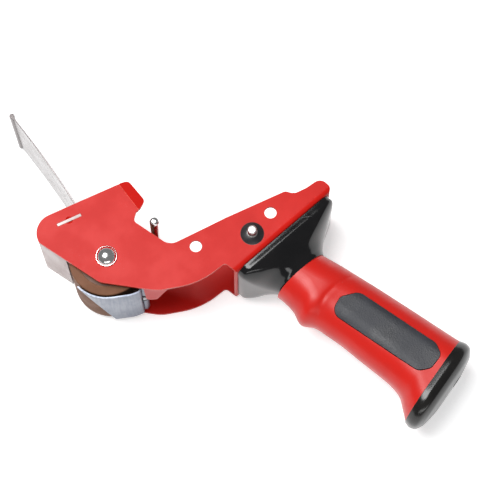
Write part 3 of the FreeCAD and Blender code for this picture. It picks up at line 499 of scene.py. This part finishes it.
def to_mesh(shape, name, matrix=None):
    """A Blender mesh from millimetres about the roller axis, optionally moved first."""
    if matrix:
        bmesh.ops.transform(shape, matrix=matrix, verts=shape.verts)
    to_scene = Matrix.Translation(at(0, 0, 0)) @ Matrix.Scale(MM, 4)
    bmesh.ops.transform(shape, matrix=to_scene, verts=shape.verts)
    mesh = bpy.data.meshes.new(name)
    shape.to_mesh(mesh)
    shape.free()
    return mesh


def arc(centre_r, centre_z, radius, start, end, steps=8):
    """Profile points along an arc, angles in degrees from the radius direction."""
    angles = [math.radians(start + (end - start) * k / steps) for k in range(steps + 1)]
    return [(centre_r + radius * math.cos(a), centre_z + radius * math.sin(a)) for a in angles]


def cap_arc(radius, height, base, steps=14, inner=0.0):
    """Profile of a shallow dome, from its rim to an inner radius."""
    ball = (radius ** 2 + height ** 2) / (2 * height)
    radii = [radius + (inner - radius) * k / steps for k in range(steps + 1)]
    return [(r, base + height - ball + math.sqrt(ball ** 2 - r ** 2)) for r in radii]


def turned_piece(name, node, profile, x=0.0, y=0.0, **how):
    """A piece spun from its profile, shaded smoothly."""
    return soften(new_piece(name, to_mesh(turned(profile, x, y, **how), name), node), 0)


# %% Roller tread, cap, rod, stud and washer
FRAME_TOP = 56.0
tread_low, tread_high = height_of("roller_tread")
TREAD_R, TREAD_BORE, RIM = 21.75, 16.25, 0.8
tread = ([(TREAD_BORE, tread_low + 0.3), (TREAD_BORE + 0.3, tread_low)]
         + arc(TREAD_R - RIM, tread_low + RIM, RIM, -90, 0)
         + arc(TREAD_R - RIM, tread_high - RIM, RIM, 0, 90)
         + [(TREAD_BORE + 0.3, tread_high), (TREAD_BORE, tread_high - 0.3)])
turned_piece("rubber_tread", "roller_tread", tread, ring=True, turns=128)

CAP_R, AXLE_R, CAP_RIM = 6.1, 4.0, 0.9
cap = ([(0, FRAME_TOP + 2.2), (AXLE_R, FRAME_TOP + 2.2), (AXLE_R, FRAME_TOP), (CAP_R - 0.15, FRAME_TOP)]
       + arc(CAP_R - 0.25, FRAME_TOP + CAP_RIM - 0.25, 0.25, 0, 90, 4)
       + cap_arc(CAP_R - 0.35, 3.5, FRAME_TOP + CAP_RIM))
turned_piece("domed_axle_cap", "axle_cap", cap)

rod_x, rod_y = middle_of("guide_rod")
ROD_R, ROD_TOP, ROD_ROUND = 2.75, 56.6, 1.9
rod = ([(0, 0), (1.9, 0), (1.9, 1.8), (ROD_R, 1.8)]
       + arc(ROD_R - ROD_ROUND, ROD_TOP - ROD_ROUND, ROD_ROUND, 0, 90) + [(0, ROD_TOP)])
turned_piece("polished_guide_rod", "guide_rod", rod, rod_x, rod_y)

stud_x, stud_y = middle_of("hub_stud")
STUD_R, STUD_END_R, STUD_TOP = 3.0, 2.7, 64.0
stud = ([(0, 0), (5.1, 0), (5.1, 0.1), (STUD_R, 1.5), (STUD_R, 58.8), (STUD_END_R, 58.95)]
        + arc(STUD_END_R - 0.9, STUD_TOP - 0.9, 0.9, 0, 90) + [(0, STUD_TOP)])
turned_piece("standing_stud", "hub_stud", stud, stud_x, stud_y)

DISH_R, DISH_HEIGHT, DISH_SHEET = 6.8, 2.0, 0.8
outside = cap_arc(DISH_R, DISH_HEIGHT + DISH_SHEET, FRAME_TOP, inner=STUD_R + 0.05)
inside = cap_arc(DISH_R - DISH_SHEET, DISH_HEIGHT, FRAME_TOP, inner=STUD_R + 0.05)
turned_piece("push_on_washer", "dished_washer", outside + inside[::-1], stud_x, stud_y, ring=True)
print("turned: tread, cap, rod, stud and washer")

# %% [markdown]
# ## Carving
# A recess or a pocket is easiest to get by carving: a second shape is taken away from the first, or
# only their shared part is kept. The Boolean modifier does it, and its result is read back as a
# plain mesh, so nothing is left live on the finished piece.

# %% Carving helper
def carved(mesh, cutters, operation="DIFFERENCE"):
    """A mesh after Boolean operations with other meshes."""
    host = bpy.data.objects.new("host", mesh)
    scene.collection.objects.link(host)
    tools = []
    for cutter in cutters:
        tool = bpy.data.objects.new("tool", cutter)
        scene.collection.objects.link(tool)
        modifier = host.modifiers.new("carve", "BOOLEAN")
        modifier.operation, modifier.solver, modifier.object = operation, "EXACT", tool
        tools.append(tool)
    graph = bpy.context.evaluated_depsgraph_get()
    result = bpy.data.meshes.new_from_object(host.evaluated_get(graph))
    for made in [host] + tools:
        bpy.data.objects.remove(made)
    print("carved:", len(mesh.polygons), "to", len(result.polygons), "faces")
    return result


def block(x, y, z):
    """A box mesh of given half sizes about the origin, in millimetres."""
    shape = bmesh.new()
    bmesh.ops.create_cube(shape, size=2.0)
    bmesh.ops.scale(shape, vec=(x, y, z), verts=shape.verts)
    return shape


# %% [markdown]
# ## Rows by rule
# Screws and blade teeth repeat along a line, so they are placed by Geometry Nodes: a Mesh Line makes
# the points, one finished object is copied onto each, and the copies are made real and joined to
# the base mesh. Count, start and step are named inputs, so the same tree serves every row.

# %% The tree for rows
def row_tree():
    """Geometry Nodes: copies of one object in a straight row, joined to a base."""
    tree = bpy.data.node_groups.new("row_of_copies", "GeometryNodeTree")
    sockets = (("Geometry", "Geometry"), ("Copied", "Object"), ("Count", "Int"), ("Start", "Vector"),
               ("Step", "Vector"), ("Finish", "Material"))
    for label, kind in sockets:
        tree.interface.new_socket(label, in_out="INPUT", socket_type="NodeSocket" + kind)
    tree.interface.new_socket("Geometry", in_out="OUTPUT", socket_type="NodeSocketGeometry")
    given = add(tree, "NodeGroupInput").outputs
    line = add(tree, "GeometryNodeMeshLine", {"Count": given["Count"], "Start Location": given["Start"],
                                              "Offset": given["Step"]}, mode="OFFSET")
    copied = add(tree, "GeometryNodeObjectInfo", {"Object": given["Copied"]})
    spread = add(tree, "GeometryNodeInstanceOnPoints", {"Points": line.outputs["Mesh"],
                                                        "Instance": copied.outputs["Geometry"]})
    real = add(tree, "GeometryNodeRealizeInstances", {"Geometry": spread.outputs["Instances"]})
    joined = add(tree, "GeometryNodeJoinGeometry", {"Geometry": given["Geometry"]})
    tree.links.new(real.outputs["Geometry"], joined.inputs["Geometry"])
    painted = add(tree, "GeometryNodeSetMaterial", {"Geometry": joined.outputs["Geometry"],
                                                    "Material": given["Finish"]})
    add(tree, "NodeGroupOutput", {"Geometry": painted.outputs["Geometry"]})
    return tree


def grown(name, tree, node, base=None, **values):
    """A piece made by a Geometry Nodes tree with its inputs set, as a plain mesh."""
    host = bpy.data.objects.new("host", base or bpy.data.meshes.new("empty"))
    scene.collection.objects.link(host)
    modifier = host.modifiers.new("rule", "NODES")
    modifier.node_group = tree
    for item in tree.interface.items_tree:
        if item.item_type == "SOCKET" and item.in_out == "INPUT" and item.name in values:
            modifier[item.identifier] = values[item.name]
    host.update_tag()
    result = bpy.data.meshes.new_from_object(host.evaluated_get(bpy.context.evaluated_depsgraph_get()))
    result.name = name
    bpy.data.objects.remove(host)
    print(f"{name}: {len(result.polygons)} faces by rule")
    return new_piece(name, result, node)


ROWS = row_tree()


def helper(mesh):
    """An object that only lends its mesh to a tree."""
    made = bpy.data.objects.new("lent", mesh)
    scene.collection.objects.link(made)
    return made


# %% [markdown]
# A screw is turned with its thread as a fine zigzag, then a cross recess is carved into its head. The
# teeth of the blade are small wedges, ground thin on their upper side.

# %% Screws
def screw(head_r, head_high, shank_r, length, pitch=0.8, depth=0.2):
    """A pan-head screw mesh along Y, with the seat of its head at the origin."""
    grooves = int(length / pitch)
    thread = []
    for k in range(grooves):
        z = -length + k * length / grooves
        thread += [(shank_r - depth, z), (shank_r, z + length / grooves / 2)]
    profile = [(0, -length)] + thread + [(shank_r, 0), (head_r, 0)]
    profile += arc(head_r - 0.7, head_high - 0.7, 0.7, 0, 90, 6) + [(0, head_high)]
    upright = Matrix.Rotation(-math.pi / 2, 4, "X")
    body = bpy.data.meshes.new("screw")
    shape = turned(profile, turns=40)
    shape.to_mesh(body)
    shape.free()
    cuts = []
    for turn in (0, 90):
        bar = block(head_r * 0.55, head_r * 0.11, head_high * 0.45)
        bmesh.ops.transform(bar, matrix=Matrix.Rotation(math.radians(turn), 4, "Z")
                            @ Matrix.Translation((0, 0, head_high * 0.95)), verts=bar.verts)
        cut = bpy.data.meshes.new("cross")
        bar.to_mesh(cut)
        bar.free()
        cuts.append(cut)
    body = carved(body, cuts)
    body.transform(Matrix.Scale(MM, 4) @ upright)
    return body


CLAMP_X, CLAMP_TOP, CLAMP_LENGTH = -10.5, 32.7, 8.0
CLAMP_Z, CLAMP_STEP = 14.0, 28.0
lent = helper(screw(2.75, 1.8, 1.5, CLAMP_LENGTH, 0.5, 0.15))
soften(grown("clamp_screw_pair", ROWS, "clamp_screws", Copied=lent, Count=2,
             Start=at(CLAMP_X, CLAMP_TOP, CLAMP_Z), Step=(0, 0, CLAMP_STEP * MM),
             Finish=FINISHES["screw_steel"]), 0)
bpy.data.objects.remove(lent)

WEB_ANGLE, WEB_FRONT, SHEET, MID = math.radians(16.5), (63.0, -39.6), 1.8, 28.0
COLLAR_SCREW_FROM, COLLAR_SCREW_STEP = 14.0, 40.0
web_along = Vector((math.cos(WEB_ANGLE), math.sin(WEB_ANGLE), 0))
web_out = Vector((-web_along.y, web_along.x, 0))
mesh = screw(4.6, 2.6, 2.5, 12.8, 1.2, 0.3)
mesh.transform(Matrix.Rotation(WEB_ANGLE, 4, "Z"))
lent = helper(mesh)
first = at(*WEB_FRONT, MID) + (web_along * COLLAR_SCREW_FROM + web_out * SHEET) * MM
soften(grown("collar_screw_pair", ROWS, "handle_screws", Copied=lent, Count=2, Start=first,
             Step=web_along * COLLAR_SCREW_STEP * MM, Finish=FINISHES["screw_steel"]), 0)
bpy.data.objects.remove(lent)

# %% Blade with its teeth
BLADE_X, BLADE_REAR, BLADE_Y, BLADE_SHEET = -27.6, -7.0, 29.6, 0.8
TOOTH_PITCH, TOOTH_HEIGHT, TOOTH_EDGE = 2.0, 1.8, 0.15
blade_low, blade_high = height_of("blade")
strip = block((BLADE_REAR - BLADE_X) / 2, BLADE_SHEET / 2, (blade_high - blade_low) / 2)
strip = to_mesh(strip, "strip", Matrix.Translation(((BLADE_REAR + BLADE_X) / 2, BLADE_Y + BLADE_SHEET / 2,
                                                    (blade_low + blade_high) / 2)))
tooth = bmesh.new()
corners = [tooth.verts.new(Vector(p) * MM) for p in (
    (0.05, 0, -TOOTH_PITCH / 2), (0.05, 0, TOOTH_PITCH / 2), (0.05, BLADE_SHEET, TOOTH_PITCH / 2),
    (0.05, BLADE_SHEET, -TOOTH_PITCH / 2), (-TOOTH_HEIGHT, 0, 0), (-TOOTH_HEIGHT, TOOTH_EDGE, 0))]
for around in ((0, 1, 2, 3), (0, 1, 4), (3, 2, 5), (0, 4, 5, 3), (1, 2, 5, 4)):
    tooth.faces.new([corners[i] for i in around])
bmesh.ops.recalc_face_normals(tooth, faces=tooth.faces)
tooth_mesh = bpy.data.meshes.new("tooth")
tooth.to_mesh(tooth_mesh)
tooth.free()
lent = helper(tooth_mesh)
count = int((blade_high - blade_low) / TOOTH_PITCH)
start_z = (blade_low + blade_high - (count - 1) * TOOTH_PITCH) / 2
soften(grown("serrated_blade", ROWS, "blade", base=strip, Copied=lent, Count=count,
             Start=at(BLADE_X, BLADE_Y, start_z), Step=(0, 0, TOOTH_PITCH * MM),
             Finish=FINISHES["blade_steel"]), 0)
bpy.data.objects.remove(lent)

# %% [markdown]
# The spring follows a helix, which is again a rule: a spiral curve gets a round profile. Its ends
# are the wire's own cut ends.

# %% Hinge spring
def coil_tree():
    """Geometry Nodes: a round wire along a helix."""
    tree = bpy.data.node_groups.new("wire_coil", "GeometryNodeTree")
    sockets = (("Geometry", "Geometry"), ("Turns", "Float"), ("Radius", "Float"), ("Height", "Float"),
               ("Wire", "Float"), ("Start", "Vector"), ("Finish", "Material"))
    for label, kind in sockets:
        tree.interface.new_socket(label, in_out="INPUT", socket_type="NodeSocket" + kind)
    tree.interface.new_socket("Geometry", in_out="OUTPUT", socket_type="NodeSocketGeometry")
    given = add(tree, "NodeGroupInput").outputs
    path = add(tree, "GeometryNodeCurveSpiral", {
        "Resolution": 40, "Rotations": given["Turns"], "Start Radius": given["Radius"],
        "End Radius": given["Radius"], "Height": given["Height"]})
    profile = add(tree, "GeometryNodeCurvePrimitiveCircle", {"Resolution": 12, "Radius": given["Wire"]})
    wire = add(tree, "GeometryNodeCurveToMesh", {"Curve": path.outputs["Curve"],
                                                 "Profile Curve": profile.outputs["Curve"],
                                                 "Fill Caps": True})
    moved = add(tree, "GeometryNodeTransform", {"Geometry": wire.outputs["Mesh"],
                                                "Translation": given["Start"]})
    painted = add(tree, "GeometryNodeSetMaterial", {"Geometry": moved.outputs["Geometry"],
                                                    "Material": given["Finish"]})
    add(tree, "NodeGroupOutput", {"Geometry": painted.outputs["Geometry"]})
    return tree


spring_low, spring_high = height_of("tongue_spring")
WIRE_R, COIL_R = 0.45, 2.3
spring_x, spring_y = middle_of("tongue_pin")
soften(grown("hinge_spring", coil_tree(), "tongue_spring", Turns=5.0, Radius=COIL_R * MM,
             Height=(spring_high - spring_low - 2 * WIRE_R) * MM, Wire=WIRE_R * MM,
             Start=at(spring_x, spring_y, spring_low + WIRE_R), Finish=FINISHES["spring_steel"]), 0)

# %% [markdown]
# ## Moulded pieces
# The collar, grip and butt cap change their section along their length. Each section is a rounded
# rectangle; between the given ones more are found on a smooth curve, and neighbouring rings are
# joined by quads. All rings have the same number of points, so the surface flows without seams.

# %% Rings and lofts
CORNER_STEPS, SIDE_STEPS = 14, 8


def ring(low, high, wide, radius):
    """Points (across, z) round a rounded rectangle."""
    half = wide / 2
    r = min(radius, half - 0.4, (high - low) / 2 - 0.4)
    points = []
    corners = (((high - r, half - r), 0), ((low + r, half - r), 90), ((low + r, r - half), 180),
               ((high - r, r - half), 270))
    for k, ((u, v), begin) in enumerate(corners):
        for i in range(CORNER_STEPS + 1):
            a = math.radians(begin + 90 * i / CORNER_STEPS)
            points.append((u + r * math.cos(a), v + r * math.sin(a)))
        (next_u, next_v), next_begin = corners[(k + 1) % 4]
        a = math.radians(next_begin)
        last, target = points[-1], (next_u + r * math.cos(a), next_v + r * math.sin(a))
        for i in range(1, SIDE_STEPS):
            points.append((last[0] + (target[0] - last[0]) * i / SIDE_STEPS,
                           last[1] + (target[1] - last[1]) * i / SIDE_STEPS))
    return points


def smooth_rows(rows, steps):
    """More rows between the given ones, on a smooth curve through them."""
    result = []
    for i in range(len(rows) - 1):
        a, b = rows[max(i - 1, 0)], rows[i]
        c, d = rows[i + 1], rows[min(i + 2, len(rows) - 1)]
        for k in range(steps):
            t = k / steps
            result.append(tuple(
                0.5 * (2 * q + (r - p) * t + (2 * p - 5 * q + 4 * r - s) * t * t
                       + (3 * q - p - 3 * r + s) * t ** 3)
                for p, q, r, s in zip(a, b, c, d)))
    return result + [rows[-1]]


def loft(rows, origin, along, across):
    """A closed mesh through sections (station, low, high, wide, radius), in millimetres."""
    shape = bmesh.new()
    rings = []
    for station, low, high, wide, radius in rows:
        centre = Vector((*origin, MID)) + along * station
        rings.append([shape.verts.new(centre + across * u + Vector((0, 0, v)))
                      for u, v in ring(low, high, wide, radius)])
    count = len(rings[0])
    for here, beyond in zip(rings, rings[1:]):
        for i in range(count):
            j = (i + 1) % count
            shape.faces.new((here[i], here[j], beyond[j], beyond[i]))
    shape.faces.new(rings[0][::-1])
    shape.faces.new(rings[-1])
    bmesh.ops.recalc_face_normals(shape, faces=shape.faces)
    return shape


# %% Collar
COLLAR = [(0, 1.0, 70.5, 54.0, 7.0), (1.0, 1.1, 70.4, 54.0, 7.2), (4.5, 1.6, 70.2, 54.0, 8.0),
          (9, 4.6, 63.5, 50.0, 12.0), (14, 9.8, 55.5, 43.0, 17.0), (18, 13.4, 51.0, 38.2, 17.4),
          (21, 15.4, 49.0, 35.5, 17.5)]
web_in = -web_out
collar = loft(smooth_rows(COLLAR, 6), WEB_FRONT, web_in, web_along)
piece = soften(new_piece("flared_collar", to_mesh(collar, "flared_collar"), "handle_collar"), 0.4, 3, 40)

# %% [markdown]
# The grip's red body is one long loft. A shallow crease is pressed into each broad face where the
# finger stop begins, and pockets for the grey inserts are carved from both sides. The inserts are
# cut from the same loft, swollen by half a millimetre, so they follow the grip's curves exactly.

# %% Grip body
GRIP = [(-24, -15, 18.8, 34.6, 16.4), (-16, -15.1, 18.8, 34.6, 16.4), (-8, -15.2, 18.8, 34.8, 16.5),
        (0, -15.6, 19.1, 35, 16.8), (8, -16.2, 20.8, 35.4, 17), (16, -16.8, 24.6, 35.6, 17),
        (24, -17.3, 21.6, 33.8, 16.4), (33, -17.7, 21.3, 33.2, 16), (42, -18, 21.4, 33.4, 16),
        (51, -18.2, 22.1, 33.8, 16.2), (60, -18.35, 22.8, 34.2, 16.3), (69, -18.5, 23.4, 34.6, 16.4),
        (78, -18.6, 24.3, 35.2, 16.6), (86, -18.7, 26.7, 36.2, 17), (92, -18.8, 31.8, 37.4, 17.5),
        (97, -18.9, 36.6, 38.6, 18)]
GRIP_ANGLE, GRIP_TOP, COLLAR_HEIGHT = math.radians(-60.5), (100.0, -50.5), 21.0
grip_along = Vector((math.cos(GRIP_ANGLE), math.sin(GRIP_ANGLE), 0))
grip_across = Vector((grip_along.y, -grip_along.x, 0))
CREASE = [(-20.0, 27.5), (-8.1, 23.4), (-1.4, 21.1), (6.7, 19.8), (12.7, 20.5), (19.2, 23.6), (30.0, 31.0)]
CREASE_DEPTH, CREASE_WIDTH = 0.5, 1.1


def crease_station(b):
    """Station of the crease at a place across the grip."""
    for (b0, s0), (b1, s1) in zip(CREASE, CREASE[1:]):
        if b <= b1:
            return s0 + (s1 - s0) * (b - b0) / (b1 - b0)
    return CREASE[-1][1]


def grip_mesh(proud):
    """The grip's loft, creased and cut off along the collar."""
    rows = smooth_rows([(s, p, f, w + 2 * proud, r) for s, p, f, w, r in GRIP], 9)
    shape = loft(rows, GRIP_TOP, grip_along, grip_across)
    start = Vector((*GRIP_TOP, MID))
    for vert in shape.verts:
        offset = vert.co - start
        away = offset.dot(grip_along) - crease_station(offset.dot(grip_across))
        flat = min(1.0, max(0.0, (abs(offset.z) - 9.0) / 4.0))
        vert.co.z -= math.copysign(CREASE_DEPTH * flat * math.exp(-(away / CREASE_WIDTH) ** 2), offset.z)
    plane = Vector((*WEB_FRONT, 0)) + web_in * COLLAR_HEIGHT
    every = shape.verts[:] + shape.edges[:] + shape.faces[:]
    cut = bmesh.ops.bisect_plane(shape, geom=every, plane_co=plane, plane_no=web_out, clear_outer=True)
    rim = [e for e in cut["geom_cut"] if isinstance(e, bmesh.types.BMEdge)]
    bmesh.ops.edgenet_fill(shape, edges=rim)
    bmesh.ops.recalc_face_normals(shape, faces=shape.faces)
    return to_mesh(shape, "grip")


POCKET = [(28.0, 12.6, 6.0), (27.2, 2.0, 4.0), (34.5, -6.9, 7.0), (87.0, -6.9, 6.0), (93.6, -2.5, 5.0),
          (93.2, 7.5, 5.0), (88.0, 12.9, 6.0)]
POCKET_FLOOR, INSERT_GAP = 10.4, 0.35


def rounded_outline(corners, steps=8):
    """Outline through (station, across, radius) corners, each rounded."""
    points = []
    for i, (s, b, radius) in enumerate(corners):
        here = Vector((s, b))
        before = (Vector(corners[i - 1][:2]) - here).normalized()
        after = (Vector(corners[(i + 1) % len(corners)][:2]) - here).normalized()
        half = before.angle(after) / 2
        reach = radius / math.tan(half)
        centre = here + (before + after).normalized() * (radius / math.sin(half))
        first, last = here + before * reach - centre, here + after * reach - centre
        sweep = first.angle_signed(last)
        for k in range(steps + 1):
            turn = -sweep * k / steps
            points.append(centre + Vector((first.x * math.cos(turn) - first.y * math.sin(turn),
                                           first.x * math.sin(turn) + first.y * math.cos(turn))))
    return points


def pocket_block(gap, low, high):
    """Prism over the pocket's outline, drawn in by a gap."""
    middle = Vector((60.0, 3.0))
    shrunk = []
    for s, b, radius in POCKET:
        ds = math.copysign(gap, middle.x - s)
        db = math.copysign(gap, middle.y - b)
        shrunk.append((s + ds, b + db, radius - gap))
    shape = bmesh.new()
    start = Vector((*GRIP_TOP, 0))
    base = [shape.verts.new(start + grip_along * p.x + grip_across * p.y + Vector((0, 0, low)))
            for p in rounded_outline(shrunk)]
    bmesh.ops.remove_doubles(shape, verts=shape.verts, dist=0.01)
    face = shape.faces.new([v for v in base if v.is_valid])
    top = bmesh.ops.extrude_face_region(shape, geom=[face])["geom"]
    lifted = [v for v in top if isinstance(v, bmesh.types.BMVert)]
    bmesh.ops.translate(shape, vec=(0, 0, high - low), verts=lifted)
    bmesh.ops.recalc_face_normals(shape, faces=shape.faces)
    return to_mesh(shape, "pocket")


near_floor, far_floor = MID + POCKET_FLOOR, MID - POCKET_FLOOR
shell = carved(grip_mesh(0), [pocket_block(0, near_floor, 60), pocket_block(0, -4, far_floor)])
soften(new_piece("red_grip_body", shell, "grip_shell"), 0.35, 3, 38)
for node, name, low, high in (("grip_insert_near", "soft_insert_near", near_floor, 60),
                              ("grip_insert_far", "soft_insert_far", -4, far_floor)):
    mesh = carved(grip_mesh(0.5), [pocket_block(INSERT_GAP, low, high)], "INTERSECT")
    soften(new_piece(name, mesh, node), 0.5, 3, 38)

# %% Butt cap and its screw
CAP = [(97, -19.0, 36.8, 39.0, 18.1), (97.3, -19.2, 37.1, 39.3, 18.2), (100.2, -19.8, 38, 40.2, 18.6),
       (102.5, -19.5, 37.7, 39.4, 18.3), (104.2, -18.6, 36.8, 37.6, 17.6), (105.8, -16.2, 34.4, 33.0, 15.6),
       (107, -13, 31.4, 27, 13), (108.2, -5, 23, 15, 7)]
SEAT, HEAD_BORE, SCREW_SIDE = 105.2, 4.0, 1.0
butt = to_mesh(loft(smooth_rows(CAP, 5), GRIP_TOP, grip_along, grip_across), "butt")
turn_grip = grip_along.to_track_quat("Z", "Y").to_matrix().to_4x4()
seat = Vector((*GRIP_TOP, MID)) + grip_along * SEAT + grip_across * SCREW_SIDE
SINK_DEPTH = 9.0
sink = turned([(0, 0), (HEAD_BORE, 0), (HEAD_BORE, SINK_DEPTH), (0, SINK_DEPTH)])
sink = to_mesh(sink, "sink", Matrix.Translation(seat) @ turn_grip)
soften(new_piece("glossy_butt_cap", carved(butt, [sink]), "butt_cap"), 0.3, 3, 40)
mesh = screw(3.8, 1.6, 2.0, 22.0, 1.0, 0.25)
mesh.transform(Matrix.Translation(at(*seat)) @ turn_grip @ Matrix.Rotation(math.pi / 2, 4, "X"))
soften(new_piece("butt_cap_screw", mesh, "butt_screw"), 0)
print("moulded pieces done")
